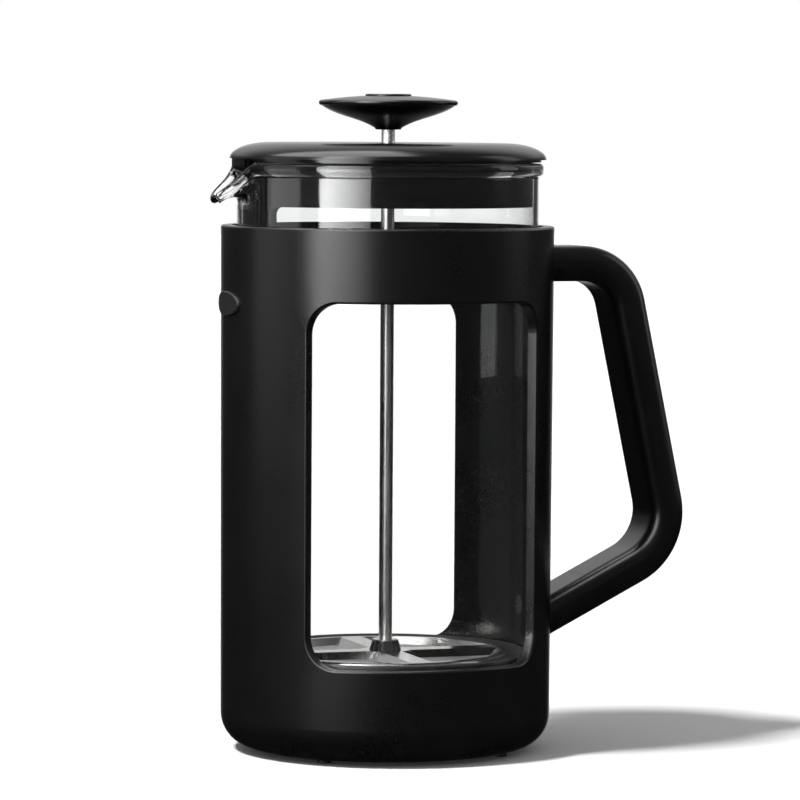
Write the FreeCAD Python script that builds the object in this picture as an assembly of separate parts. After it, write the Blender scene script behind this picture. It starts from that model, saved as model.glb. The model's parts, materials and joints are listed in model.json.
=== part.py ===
import FreeCAD, Part
import math
import os

# French press: a glass carafe in a windowed plastic shell, with a strainer lid and a plunger.
# Millimetres. The origin is on the carafe's axis, at the surface that the feet stand on.
# +Z is up, +X points to the handle, -X to the spout, and the two windows face -Y and +Y.

V = FreeCAD.Vector
UP = V(0, 0, 1)

# ---- Shell
BASE_Z = 0.9  # underside, above the surface the feet stand on
SHELL_TOP_Z = 168.6
SHELL_TOP_R = 53.5
SHELL_BASE_R = 53.0  # a slight draft narrows the shell downwards
SHELL_WALL = 3.5
SHELL_CORNER_R = 11.0
RIM_EDGE_R = 0.7
WINDOW_HALF_DEG = 45.5
WINDOW_LOW_Z = 30.8
WINDOW_HIGH_Z = 145.3
WINDOW_CORNER_R = 10.0
WINDOW_EDGE_R = 0.7

# ---- Feet, cushion and bumpers
FOOT_CIRCLE_R = 41.5
FOOT_R = 2.2
FOOT_PLUG_R = 1.5
FOOT_PLUG_HEIGHT = 2.4
CUSHION_R = 34.0
CUSHION_GROOVES = (12.0, 20.5, 29.0)  # radii of the grooves' middles
CUSHION_GROOVE_WIDTH = 2.0
CUSHION_GROOVE_DEPTH = 1.0
BUMPER_HALF_DEG = 3.0
BUMPER_FROM_Y_DEG = 35.0
BUMPER_LOW_Z = 163.8
BUMPER_HIGH_Z = 167.4
GAP = 0.3  # between bodies that move past each other

# ---- Badge: a plain oval on the shell, below the spout
BADGE_Z = 143.9
BADGE_WIDTH = 22.0
BADGE_HEIGHT = 8.0
BADGE_STAND = 0.9
BADGE_SINK = 0.7

# ---- Handle: a rounded bar along a bent centreline in the XZ plane
ARM_HIGH_Z = 156.3
HANDLE_TOP_CORNER_X = 77.0
HANDLE_LOW_CORNER = (96.2, 64.5)
ARM_LOW_END = (45.0, 38.1)
HANDLE_TOP_BEND_R = 16.0
HANDLE_LOW_BEND_R = 19.5
HANDLE_THICK = 11.5
HANDLE_WIDTH = 23.2
HANDLE_EDGE_R = 4.5
COVER_WIDTH = 14.0
COVER_THICK = 2.2
COVER_START_X = 60.0
COVER_END_X = 68.0
CHANNEL_WIDTH = 11.0
CHANNEL_DEPTH = 8.2
CHANNEL_SHORTER = 2.0  # than its cover, at each end
FIT = 0.1  # between the handle and its cover

# ---- Screws that hold the handle on, from inside the shell
SCREW_SPREAD = 12.0
SCREW_R = 1.5
SCREW_HEAD_R = 3.2
SCREW_HEAD_HEIGHT = 1.5
SCREW_SEAT_X = 51.4
SCREW_LENGTH = 10.0
SCREW_LOW_Z = 44.5
SCREW_SLOT_WIDTH = 0.8
SCREW_SLOT_DEPTH = 0.8

# ---- Carafe
GLASS_R = 48.5
GLASS_WALL = 1.6
GLASS_BASE_Z = 8.0
GLASS_FLOOR = 2.5
GLASS_CORNER_R = 13.0
RIM_TOP_Z = 188.8
BEAD_R = 50.0
BEAD_HEIGHT = 4.2
BEAD_ROUND = 1.35
SPOUT_TIP_X = 60.1
SPOUT_RIM = ((45.0, 188.8), (53.0, 184.6), (57.0, 182.1), (61.4, 177.4))  # reach and height
SPOUT_HALF_WIDTH = 16.4
SPOUT_TIP_R = 3.0
SPOUT_SIDE_R = 1.0
SPOUT_TAPER_SHARE = 0.86  # of the spout's length, over which it narrows to its tip
SPOUT_BACK_X = 38.0
SPOUT_FLOOR = 1.3
SPOUT_LEVELS = (  # height, reach and half width of the spout's underside
    (174.6, 47.3, 8.0),
    (175.7, 49.5, 11.5),
    (176.4, 55.0, 14.6),
    (176.8, 59.4, 15.6),
)

# ---- Lid
LID_R = 50.8
LID_EDGE_Z = 189.9
LID_TOP_Z = 195.1
LID_SHOULDER = 13.0
LID_WALL = 2.2
LID_EDGE_WALL = 0.8
LID_HOLE_R = 3.4
SKIRT_R = 46.5
SKIRT_WALL = 2.0
SKIRT_LOW_Z = 174.9
FLANGE_R = 49.3
FLANGE_LOW_Z = RIM_TOP_Z + GAP
FLANGE_HIGH_Z = 190.3

# ---- Pour strainer, part of the skirt on the spout side
PANEL_HALF_DEG = 21.5
PANEL_LOW_Z = 151.0
PANEL_CORNER_R = 4.5
PANEL_ROOT_R = 3.0
SLOT_COUNT = 15
SLOT_PITCH_DEG = 2.95
SLOT_WIDTH = 1.2
SLOT_TOP_Z = 186.2
SLOT_LOW_Z = 154.5
SLOT_OUTER_LOW_Z = (175.4, 172.3)  # the outermost slots and the next ones are shorter
THROAT_HALF_DEG = 8.5
THROAT_R = 50.5
THROAT_LOW_Z = 179.0
TAB_R = 50.9
TAB_HALF_DEG = 10.5
TAB_LOW_Z = 187.5

# ---- Rod and its bushing
ROD_R = 2.15
ROD_LOW_Z = 27.0
ROD_HIGH_Z = 206.2
ROD_CHAMFER = 0.4
BUSHING_BORE_R = 2.24
BUSHING_R = 3.3
BUSHING_FLANGE_R = 6.5
BUSHING_FLANGE_THICK = 1.2
BUSHING_LOW_Z = 187.0

# ---- Knob
KNOB_R = 22.25
KNOB_RIM_Z = 208.2
KNOB_SHOULDER_Z = 208.7
KNOB_DOME_MIDDLE_Z = 209.85
KNOB_DOME_Z = 210.3
KNOB_TOP_Z = 210.7
KNOB_EDGE_R = 0.8
KNOB_FLARE = ((21.45, 207.0), (17.8, 205.0), (10.1, 202.4), (4.4, 199.9))  # radius and height
KNOB_COLLAR_R = 4.0
KNOB_COLLAR_Z = 199.3
KNOB_LID_R = 20.7
KNOB_LID_LOW_Z = 207.0
CENTRE_CAP_R = 7.4
CENTRE_CAP_LOW_Z = 208.7
CAP_EDGE_R = 0.5
INSERT_R = 3.2
INSERT_LOW_Z = 200.0
INSERT_HIGH_Z = 206.4
INSERT_GROOVE_WIDTH = 1.2
INSERT_GROOVE_DEPTH = 0.4
PRESS_GAP = 0.02

# ---- Filter stack, from the top down
PLATE_TOP_Z = 31.9
PLATE_R = 39.8
PLATE_DEPTH = 2.2
PLATE_THICK = 0.7
PLATE_EDGE_R = 1.2
SPOKE_WIDTH = 7.0
PLATE_RIM_WIDTH = 2.6
PLATE_BOSS_R = 8.0
POCKET_SLOPE = 3.2
SEAL_R = 46.6
SEAL_HIGH_Z = 31.9
SEAL_LOW_Z = 26.6
SEAL_FOOT_R = 36.8
SEAL_FOOT_Z = 27.1
SEAL_LIP_R = 0.8
SEAL_CREST_R = 45.2
SEAL_VALLEY_R = 42.0  # between the plate's edge and the lip
SEAL_VALLEY_Z = 30.6
SEAL_HOLLOW_R = 43.6  # the underside's groove behind the lip
SEAL_HOLLOW_Z = 28.8
MESH_THICK = 0.6
SIEVE_THICK = 0.8
SIEVE_HOLE_R = 1.6
SIEVE_RINGS = ((10.5, 9), (17.0, 15), (23.5, 21), (30.0, 27))  # radius and number of holes
HUB_BORE_R = 2.2
SLEEVE_R = 3.2
HUB_LOW_R = 5.1
HUB_HIGH_R = 4.2
HUB_HEIGHT = 3.0
HUB_RIBS = 14
HUB_GROOVE_R = 0.35
WASHER_R = 4.0
WASHER_THICK = 0.4
NUT_FLAT_R = 4.0
NUT_HEIGHT = 3.0
SLEEVE_PAST_NUT = 0.5

# ---- Values worked out from the ones above
SHELL_INNER_R = SHELL_TOP_R - SHELL_WALL
SHELL_FLOOR_Z = BASE_Z + SHELL_WALL
GLASS_INNER_R = GLASS_R - GLASS_WALL
MESH_HIGH_Z = PLATE_TOP_Z - PLATE_DEPTH
MESH_LOW_Z = MESH_HIGH_Z - MESH_THICK
SIEVE_LOW_Z = MESH_LOW_Z - SIEVE_THICK
SLEEVE_LOW_Z = SIEVE_LOW_Z - NUT_HEIGHT - SLEEVE_PAST_NUT
HUB_HIGH_Z = PLATE_TOP_Z + HUB_HEIGHT
BEYOND = 20.0  # how far a cutting shape runs past the solid it cuts


def rounded(corners, closed=True):
    """Edges through corners [(point, radius), ...], each corner rounded to its radius."""
    starts, middles, ends = [], [], []
    count = len(corners)
    for i, (point, radius) in enumerate(corners):
        at_end = not closed and i in (0, count - 1)
        if radius == 0 or at_end:
            starts.append(point)
            middles.append(None)
            ends.append(point)
            continue
        back = (corners[i - 1][0] - point).normalize()
        ahead = (corners[(i + 1) % count][0] - point).normalize()
        half = back.getAngle(ahead) / 2
        reach = radius / math.tan(half)
        bisector = (back + ahead).normalize()
        starts.append(point + back * reach)
        middles.append(point + bisector * (radius / math.sin(half) - radius))
        ends.append(point + ahead * reach)
    edges = []
    for i in range(count):
        if middles[i]:
            edges.append(Part.Arc(starts[i], middles[i], ends[i]).toShape())
        following = (i + 1) % count
        last = not closed and i == count - 1
        if not last and ends[i].distanceToPoint(starts[following]) > 1e-6:
            edges.append(Part.LineSegment(ends[i], starts[following]).toShape())
    return edges


def revolved(edges, degrees=360):
    """The solid that a closed outline in the XZ plane sweeps about the Z axis."""
    return Part.Face(Part.Wire(edges)).revolve(V(0, 0, 0), UP, degrees)


def turned(corners):
    """A solid of revolution from its (radius, height, rounding) corners."""
    return revolved(rounded([(V(r, 0, z), rounding) for r, z, rounding in corners]))


def disc(radius, low, high):
    return Part.makeCylinder(radius, high - low, V(0, 0, low))


def ring(inner, outer, low, high):
    return disc(outer, low, high).cut(disc(inner, low, high))


def sector(inner, outer, low, high, middle_deg, half_deg):
    """A ring's stretch, half_deg to each side of middle_deg."""
    corners = [V(inner, 0, low), V(outer, 0, low), V(outer, 0, high), V(inner, 0, high)]
    piece = revolved(rounded([(corner, 0) for corner in corners]), 2 * half_deg)
    piece.rotate(V(0, 0, 0), UP, middle_deg - half_deg)
    return piece


def about_z(shape, degrees):
    """A copy of shape, turned about the Z axis."""
    copy = shape.copy()
    copy.rotate(V(0, 0, 0), UP, degrees)
    return copy


def fused(shapes):
    whole = shapes[0]
    for shape in shapes[1:]:
        whole = whole.fuse(shape)
    return whole.removeSplitter()


# ---- Shell and what is fixed to it


def shell_outside():
    """The shell's outer form with no hollow."""
    return turned(
        [
            (0, BASE_Z, 0),
            (SHELL_BASE_R, BASE_Z, SHELL_CORNER_R),
            (SHELL_TOP_R, SHELL_TOP_Z, RIM_EDGE_R),
            (0, SHELL_TOP_Z, 0),
        ]
    )


def window_cutter():
    """A wedge with its point on the axis, so that the window's jambs are radial."""
    near, far = SHELL_INNER_R / 2, SHELL_TOP_R + BEYOND
    slope = math.tan(math.radians(WINDOW_HALF_DEG))
    corners = [(-near, near), (near, near), (far, far), (-far, far)]
    points = [V(x * slope, y, WINDOW_LOW_Z) for x, y in corners]
    face = Part.Face(Part.Wire(Part.makePolygon(points + points[:1])))
    wedge = face.extrude(V(0, 0, WINDOW_HIGH_Z - WINDOW_LOW_Z))
    jambs = [e for e in wedge.Edges if e.BoundBox.ZLength < GAP and e.BoundBox.YLength > near / 2]
    return wedge.makeFillet(WINDOW_CORNER_R, jambs)


def window_lips(body, low_r, high_r):
    """The edges round the windows that lie between two radii."""
    found = []
    for edge in body.Edges:
        box = edge.BoundBox
        if box.ZMin < WINDOW_LOW_Z - 1 or box.ZMax > WINDOW_HIGH_Z + 1:
            continue
        points = edge.discretize(5)
        if all(low_r < math.hypot(p.x, p.y) < high_r for p in points):
            found.append(edge)
    return found


def screw_places():
    half = SCREW_SPREAD / 2
    return [(y, z) for z in (ARM_HIGH_Z, SCREW_LOW_Z) for y in (-half, half)]


def foot_places():
    angles = [math.radians(45 + 90 * i) for i in range(4)]
    return [(FOOT_CIRCLE_R * math.cos(a), FOOT_CIRCLE_R * math.sin(a)) for a in angles]


def badge_prism(grow):
    """An oval bar along X through the shell's spout side, larger than the badge by grow."""
    centre = V(-SHELL_INNER_R, 0, BADGE_Z)
    long_end = centre + V(0, BADGE_WIDTH / 2 + grow, 0)
    short_end = centre + V(0, 0, BADGE_HEIGHT / 2 + grow)
    oval = Part.Face(Part.Wire(Part.Ellipse(long_end, short_end, centre).toShape()))
    return oval.extrude(V(-BEYOND, 0, 0)).fuse(oval.extrude(V(BEYOND, 0, 0)))


def badge_radius():
    """The shell's outer radius at the badge's height."""
    share = (BADGE_Z - BASE_Z) / (SHELL_TOP_Z - BASE_Z)
    return SHELL_BASE_R + share * (SHELL_TOP_R - SHELL_BASE_R)


def make_shell():
    body = shell_outside().cut(
        turned(
            [
                (0, SHELL_FLOOR_Z, 0),
                (SHELL_INNER_R, SHELL_FLOOR_Z, SHELL_CORNER_R - SHELL_WALL),
                (SHELL_INNER_R, SHELL_TOP_Z + BEYOND, 0),
                (0, SHELL_TOP_Z + BEYOND, 0),
            ]
        )
    )
    cutter = window_cutter()
    body = body.cut(cutter).cut(about_z(cutter, 180))
    body = body.makeFillet(WINDOW_EDGE_R, window_lips(body, SHELL_BASE_R - 0.5, SHELL_TOP_R + 0.5))
    outer = SHELL_TOP_R + BEYOND
    sink = ring(badge_radius() - BADGE_SINK, outer, BADGE_Z - BADGE_HEIGHT, BADGE_Z + BADGE_HEIGHT)
    body = body.cut(badge_prism(FIT).common(sink))
    for y, z in screw_places():
        start = V(SHELL_INNER_R / 2, y, z)
        body = body.cut(Part.makeCylinder(SCREW_R, SHELL_TOP_R, start, V(1, 0, 0)))
        seat_reach = SCREW_SEAT_X - start.x
        body = body.cut(Part.makeCylinder(SCREW_HEAD_R + FIT, seat_reach, start, V(1, 0, 0)))
    for x, y in foot_places():
        body = body.cut(Part.makeCylinder(FOOT_PLUG_R, FOOT_PLUG_HEIGHT, V(x, y, BASE_Z)))
        body = body.cut(Part.makeCylinder(FOOT_R, 2 * FIT, V(x, y, BASE_Z)))
    return body


def make_foot(x, y):
    pad = Part.makeCylinder(FOOT_R, BASE_Z + 2 * FIT, V(x, y, 0))
    pad = pad.makeFillet(BASE_Z / 3, [e for e in pad.Edges if e.BoundBox.ZMax < GAP])
    return pad.fuse(Part.makeCylinder(FOOT_PLUG_R, FOOT_PLUG_HEIGHT, V(x, y, BASE_Z))).removeSplitter()


def make_badge():
    """The oval, curved like the shell, standing out of its sink."""
    base = badge_radius()
    body = badge_prism(0).common(
        ring(base - BADGE_SINK, base + BADGE_STAND, BADGE_Z - BADGE_HEIGHT, BADGE_Z + BADGE_HEIGHT)
    )
    crest = base + BADGE_STAND - GAP
    rim = [e for e in body.Edges if all(math.hypot(p.x, p.y) > crest for p in e.discretize(5))]
    return body.makeFillet(BADGE_STAND / 2, rim)


def make_base_cushion():
    """The soft disc that the carafe stands on, with round grooves in its top."""
    body = disc(CUSHION_R, SHELL_FLOOR_Z, GLASS_BASE_Z)
    half = CUSHION_GROOVE_WIDTH / 2
    for middle in CUSHION_GROOVES:
        body = body.cut(ring(middle - half, middle + half, GLASS_BASE_Z - CUSHION_GROOVE_DEPTH, GLASS_BASE_Z))
    return body


def make_bumpers():
    """Four soft pads inside the shell's mouth that centre the carafe."""
    inner = GLASS_R + GAP
    places = [side + off for side in (90, 270) for off in (-BUMPER_FROM_Y_DEG, BUMPER_FROM_Y_DEG)]
    pads = [
        sector(inner, SHELL_INNER_R, BUMPER_LOW_Z, BUMPER_HIGH_Z, place, BUMPER_HALF_DEG) for place in places
    ]
    return Part.makeCompound(pads)


# ---- Handle


def low_arm_point(x):
    """The point of the low arm's centreline at that X."""
    slope = (HANDLE_LOW_CORNER[1] - ARM_LOW_END[1]) / (HANDLE_LOW_CORNER[0] - ARM_LOW_END[0])
    return V(x, 0, ARM_LOW_END[1] + slope * (x - ARM_LOW_END[0]))


def handle_line(start_x, end_x, out):
    """The handle's centreline moved outwards by out, as corners and their bend radii."""
    points = [
        V(start_x, 0, ARM_HIGH_Z),
        V(HANDLE_TOP_CORNER_X, 0, ARM_HIGH_Z),
        V(HANDLE_LOW_CORNER[0], 0, HANDLE_LOW_CORNER[1]),
        low_arm_point(end_x),
    ]
    along = [(b - a).normalize() for a, b in zip(points, points[1:])]
    outward = [V(-d.z, 0, d.x) for d in along]
    corners = [(points[0] + outward[0] * out, 0)]
    for i, bend_r in ((1, HANDLE_TOP_BEND_R), (2, HANDLE_LOW_BEND_R)):
        both = outward[i - 1] + outward[i]
        corners.append((points[i] + both * (out * 2 / both.dot(both)), bend_r + out))
    corners.append((points[3] + outward[2] * out, 0))
    return corners


def handle_bar():
    """The whole handle: a bar of rounded section along the centreline, into the shell at both ends."""
    half = HANDLE_THICK / 2
    side = HANDLE_WIDTH / 2
    section = [(-side, -half), (side, -half), (side, half), (-side, half)]
    profile = rounded([(V(SHELL_INNER_R, y, ARM_HIGH_Z + z), HANDLE_EDGE_R) for y, z in section])
    path = Part.Wire(rounded(handle_line(SHELL_INNER_R, ARM_LOW_END[0], 0), closed=False))
    return path.makePipeShell([Part.Wire(profile)], True, False)


def handle_strip(start_x, end_x, width, low, high):
    """A flat strip that follows the handle's bends; low and high are its faces, outwards from the middle."""
    inner_line = handle_line(start_x, end_x, low)
    outer_line = handle_line(start_x, end_x, high)
    face = Part.Face(Part.Wire(rounded(inner_line + outer_line[::-1])))
    face.translate(V(0, -width / 2, 0))
    return face.extrude(V(0, width, 0))


def make_handle():
    half = HANDLE_THICK / 2
    seat_width = COVER_WIDTH + 2 * FIT
    seat = handle_strip(COVER_START_X - FIT, COVER_END_X - FIT, seat_width, -2 * half, -half + COVER_THICK)
    channel_start = COVER_START_X + CHANNEL_SHORTER
    channel_end = COVER_END_X + CHANNEL_SHORTER
    channel = handle_strip(channel_start, channel_end, CHANNEL_WIDTH, -half, -half + CHANNEL_DEPTH)
    body = handle_bar().cut(shell_outside()).cut(seat).cut(channel)
    for y, z in screw_places():
        body = body.cut(Part.makeCylinder(SCREW_R, SCREW_SEAT_X + SCREW_LENGTH, V(0, y, z), V(1, 0, 0)))
    return body


def make_handle_cover():
    """The strip on the finger side that closes the handle's channel."""
    half = HANDLE_THICK / 2
    return handle_strip(COVER_START_X, COVER_END_X, COVER_WIDTH, -half, -half + COVER_THICK)


def make_handle_screws():
    screws = []
    for y, z in screw_places():
        head_end = V(SCREW_SEAT_X - SCREW_HEAD_HEIGHT, y, z)
        head = Part.makeCylinder(SCREW_HEAD_R, SCREW_HEAD_HEIGHT, head_end, V(1, 0, 0))
        shank = Part.makeCylinder(SCREW_R, SCREW_LENGTH, V(SCREW_SEAT_X, y, z), V(1, 0, 0))
        slot_low = head_end - V(0, SCREW_HEAD_R, SCREW_SLOT_WIDTH / 2)
        slot = Part.makeBox(SCREW_SLOT_DEPTH, 2 * SCREW_HEAD_R, SCREW_SLOT_WIDTH, slot_low)
        screws.append(head.fuse(shank).removeSplitter().cut(slot))
    return Part.makeCompound(screws)


# ---- Carafe


def spout_level(height, tip_x, half_width, tip_r):
    """The spout's outline at one height: a beak that points to -X."""
    side_x = tip_x + (SPOUT_BACK_X - tip_x) * SPOUT_TAPER_SHARE
    corners = [
        (V(-SPOUT_BACK_X, -half_width, height), 0),
        (V(-SPOUT_BACK_X, half_width, height), 0),
        (V(-side_x, half_width, height), SPOUT_SIDE_R),
        (V(-tip_x - tip_r / 2, 0, height), tip_r),
        (V(-side_x, -half_width, height), SPOUT_SIDE_R),
    ]
    return Part.Wire(rounded(corners))


def spout_form(inset, lift):
    """The beak as a solid. inset is taken off its sides and tip, and lift raises its underside."""
    tip_r = SPOUT_TIP_R - inset / 2
    levels = SPOUT_LEVELS + ((RIM_TOP_Z + BEAD_ROUND, SPOUT_TIP_X, SPOUT_HALF_WIDTH),)
    wires = [spout_level(z + lift, tip - inset, half - inset, tip_r) for z, tip, half in levels]
    return Part.makeLoft(wires, True, True)


def glass_form(radius, base_z, corner_r, top_z):
    return turned([(0, base_z, 0), (radius, base_z, corner_r), (radius, top_z, 0), (0, top_z, 0)])


def spout_dip():
    """What is cut off above the spout, where the rim runs down to the tip."""
    rim = Part.BSplineCurve()
    points = [V(-x, -BEYOND, z) for x, z in SPOUT_RIM]
    rim.interpolate(points)
    high_end = V(-SPOUT_TIP_X - BEYOND, -BEYOND, RIM_TOP_Z + BEYOND)
    far_end = V(high_end.x, -BEYOND, points[-1].z)
    high_start = V(points[0].x, -BEYOND, high_end.z)
    sides = Part.makePolygon([points[-1], far_end, high_end, high_start, points[0]])
    return Part.Face(Part.Wire([rim.toShape()] + sides.Edges)).extrude(V(0, 2 * BEYOND, 0))


def make_carafe():
    bead_low = RIM_TOP_Z - BEAD_HEIGHT
    bead = turned(
        [
            (GLASS_INNER_R, bead_low, 0),
            (GLASS_R, bead_low, 0),
            (BEAD_R, bead_low + BEAD_ROUND, BEAD_ROUND / 2),
            (BEAD_R, RIM_TOP_Z, BEAD_ROUND),
            (GLASS_INNER_R, RIM_TOP_Z, BEAD_ROUND),
        ]
    )
    outside = glass_form(GLASS_R, GLASS_BASE_Z, GLASS_CORNER_R, RIM_TOP_Z - BEAD_ROUND)
    outside = outside.fuse(spout_form(0, 0)).fuse(bead)
    floor_z = GLASS_BASE_Z + GLASS_FLOOR
    inside = glass_form(GLASS_INNER_R, floor_z, GLASS_CORNER_R - GLASS_WALL, RIM_TOP_Z + BEYOND)
    inside = inside.fuse(spout_form(GLASS_WALL, SPOUT_FLOOR))
    above = disc(SPOUT_TIP_X + BEYOND, RIM_TOP_Z, RIM_TOP_Z + BEYOND)
    return outside.cut(inside).cut(above).cut(spout_dip()).removeSplitter()


# ---- Lid


def lid_curve(radius, edge_z, top_z, shoulder):
    """The lid's shoulder, a quarter of an ellipse, as an edge from the rim to the flat top."""
    centre = V(radius - shoulder, 0, edge_z)
    ellipse = Part.Ellipse(V(radius, 0, edge_z), V(radius - shoulder, 0, top_z), centre)
    return Part.ArcOfEllipse(ellipse, 0, math.pi / 2).toShape()


def lid_form(radius, edge_z, top_z, shoulder):
    """A solid dome with a flat top and the lid's shoulder."""
    curve = lid_curve(radius, edge_z, top_z, shoulder)
    top = Part.LineSegment(V(radius - shoulder, 0, top_z), V(0, 0, top_z)).toShape()
    axis = Part.LineSegment(V(0, 0, top_z), V(0, 0, edge_z)).toShape()
    floor = Part.LineSegment(V(0, 0, edge_z), V(radius, 0, edge_z)).toShape()
    return revolved([curve, top, axis, floor])


def lid_hollow():
    inner_shoulder = LID_SHOULDER - LID_EDGE_WALL
    return lid_form(LID_R - LID_EDGE_WALL, LID_EDGE_Z, LID_TOP_Z - LID_WALL, inner_shoulder)


def make_lid_cap():
    body = lid_form(LID_R, LID_EDGE_Z, LID_TOP_Z, LID_SHOULDER).cut(lid_hollow())
    return body.cut(disc(LID_HOLE_R, LID_EDGE_Z, LID_TOP_Z))


def slot_low_z(index):
    """The lower end of a strainer slot, counted from the nearer side of the panel."""
    from_side = min(index, SLOT_COUNT - 1 - index)
    if from_side < len(SLOT_OUTER_LOW_Z):
        return SLOT_OUTER_LOW_Z[from_side]
    return SLOT_LOW_Z


def strainer_slot(index):
    """A round-ended bar along the radius, for one slot of the pour strainer."""
    low = slot_low_z(index) + SLOT_WIDTH / 2
    high = SLOT_TOP_Z - SLOT_WIDTH / 2
    start, reach = SKIRT_R - 2 * SKIRT_WALL, 3 * SKIRT_WALL
    bar = Part.makeBox(reach, SLOT_WIDTH, high - low, V(start, -SLOT_WIDTH / 2, low))
    for end in (low, high):
        bar = bar.fuse(Part.makeCylinder(SLOT_WIDTH / 2, reach, V(start, 0, end), V(1, 0, 0)))
    return about_z(bar, 180 + SLOT_PITCH_DEG * (index - (SLOT_COUNT - 1) / 2))


def strainer_throat():
    """The wedge that reaches out into the spout, under the lid's rim."""
    outline = [
        (V(SKIRT_R - SKIRT_WALL, 0, THROAT_LOW_Z), 0),
        (V(SKIRT_R, 0, THROAT_LOW_Z), 0),
        (V(THROAT_R, 0, TAB_LOW_Z), 0),
        (V(THROAT_R, 0, FLANGE_HIGH_Z), 0),
        (V(SKIRT_R - SKIRT_WALL, 0, FLANGE_HIGH_Z), 0),
    ]
    wedge = revolved(rounded(outline), 2 * THROAT_HALF_DEG)
    return about_z(wedge, 180 - THROAT_HALF_DEG)


def strainer_panel():
    """The deep part of the skirt: rounded lower corners, and curved roots where it leaves the skirt."""
    inner = SKIRT_R - SKIRT_WALL
    high = SKIRT_LOW_Z + PANEL_ROOT_R
    panel = sector(inner, SKIRT_R, PANEL_LOW_Z, high, 180, PANEL_HALF_DEG)
    lowest = [e for e in panel.Edges if e.BoundBox.ZMax < PANEL_LOW_Z + GAP]
    corners = [e for e in lowest if e.BoundBox.DiagonalLength < 2 * SKIRT_WALL]
    panel = panel.makeFillet(PANEL_CORNER_R, corners)
    root_deg = math.degrees(PANEL_ROOT_R / SKIRT_R)
    centre_z = SKIRT_LOW_Z - PANEL_ROOT_R
    for side in (-1, 1):
        middle = 180 + side * (PANEL_HALF_DEG + root_deg / 2)
        root = sector(inner, SKIRT_R, centre_z, SKIRT_LOW_Z, middle, root_deg / 2)
        bend = Part.makeCylinder(PANEL_ROOT_R, 2 * SKIRT_R, V(0, 0, centre_z), V(1, 0, 0))
        root = root.cut(about_z(bend, 180 + side * (PANEL_HALF_DEG + root_deg)))
        panel = panel.fuse(root)
    return panel


def make_lid_strainer():
    inner = SKIRT_R - SKIRT_WALL
    skirt = ring(inner, SKIRT_R, SKIRT_LOW_Z, LID_TOP_Z)
    flange = ring(inner, FLANGE_R, FLANGE_LOW_Z, FLANGE_HIGH_Z)
    tab = sector(inner, TAB_R - LID_EDGE_WALL - FIT, TAB_LOW_Z, FLANGE_HIGH_Z, 180, TAB_HALF_DEG)
    body = fused([skirt, flange, tab, strainer_throat(), strainer_panel()])
    room = lid_hollow().fuse(disc(LID_R + 1, PANEL_LOW_Z - 1, LID_EDGE_Z))
    body = body.common(room)
    for index in range(SLOT_COUNT):
        body = body.cut(strainer_slot(index))
    return body


def make_rod_bushing():
    """The sleeve in the lid that the rod slides through, held by its flange."""
    under = LID_TOP_Z - LID_WALL
    sleeve = disc(BUSHING_R, BUSHING_LOW_Z, LID_TOP_Z - FIT)
    flange = disc(BUSHING_FLANGE_R, under - BUSHING_FLANGE_THICK, under)
    return sleeve.fuse(flange).cut(disc(BUSHING_BORE_R, BUSHING_LOW_Z, LID_TOP_Z)).removeSplitter()


# ---- Knob and rod


def knob_form():
    """The whole knob outside: a shallow dome over a flared underside that ends in a collar."""
    edge = V(KNOB_R, 0, KNOB_RIM_Z)
    edge_low = V(KNOB_FLARE[0][0], 0, KNOB_FLARE[0][1])
    edge_high = V(KNOB_R - KNOB_EDGE_R, 0, KNOB_SHOULDER_Z)
    collar_top = V(KNOB_FLARE[-1][0], 0, KNOB_FLARE[-1][1])
    collar = V(KNOB_COLLAR_R, 0, KNOB_COLLAR_Z)
    dome_top = V(0, 0, KNOB_DOME_Z)
    dome_middle = V(KNOB_R / 2, 0, KNOB_DOME_MIDDLE_Z)
    flare = Part.BSplineCurve()
    flare.interpolate([V(r, 0, z) for r, z in KNOB_FLARE])
    edges = [
        Part.Arc(edge_low, edge, edge_high).toShape(),
        Part.Arc(edge_high, dome_middle, dome_top).toShape(),
        Part.LineSegment(dome_top, V(0, 0, KNOB_COLLAR_Z)).toShape(),
        Part.LineSegment(V(0, 0, KNOB_COLLAR_Z), collar).toShape(),
        Part.LineSegment(collar, collar_top).toShape(),
        flare.toShape(),
    ]
    return revolved(Part.__sortEdges__(edges))


def make_knob_body():
    body = knob_form().cut(disc(KNOB_LID_R + FIT, KNOB_LID_LOW_Z, KNOB_TOP_Z))
    body = body.cut(disc(INSERT_R + PRESS_GAP, INSERT_LOW_Z, KNOB_TOP_Z))
    return body.cut(disc(BUSHING_BORE_R, KNOB_COLLAR_Z, INSERT_LOW_Z))


def make_knob_top():
    body = knob_form().common(disc(KNOB_LID_R, KNOB_LID_LOW_Z, KNOB_TOP_Z))
    return body.cut(disc(CENTRE_CAP_R + FIT, CENTRE_CAP_LOW_Z, KNOB_TOP_Z))


def make_knob_centre_cap():
    body = disc(CENTRE_CAP_R, CENTRE_CAP_LOW_Z, KNOB_TOP_Z)
    return body.makeFillet(CAP_EDGE_R, [e for e in body.Edges if e.BoundBox.ZMin > KNOB_TOP_Z - GAP])


def make_knob_insert():
    body = disc(INSERT_R, INSERT_LOW_Z, INSERT_HIGH_Z)
    waist = (INSERT_LOW_Z + INSERT_HIGH_Z) / 2
    half = INSERT_GROOVE_WIDTH / 2
    body = body.cut(ring(INSERT_R - INSERT_GROOVE_DEPTH, KNOB_R, waist - half, waist + half))
    return body.cut(disc(ROD_R + PRESS_GAP, INSERT_LOW_Z, ROD_HIGH_Z))


def make_rod():
    rod = disc(ROD_R, ROD_LOW_Z, ROD_HIGH_Z)
    return rod.makeChamfer(ROD_CHAMFER, [e for e in rod.Edges if e.BoundBox.ZLength < GAP])


# ---- Filter stack


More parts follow.
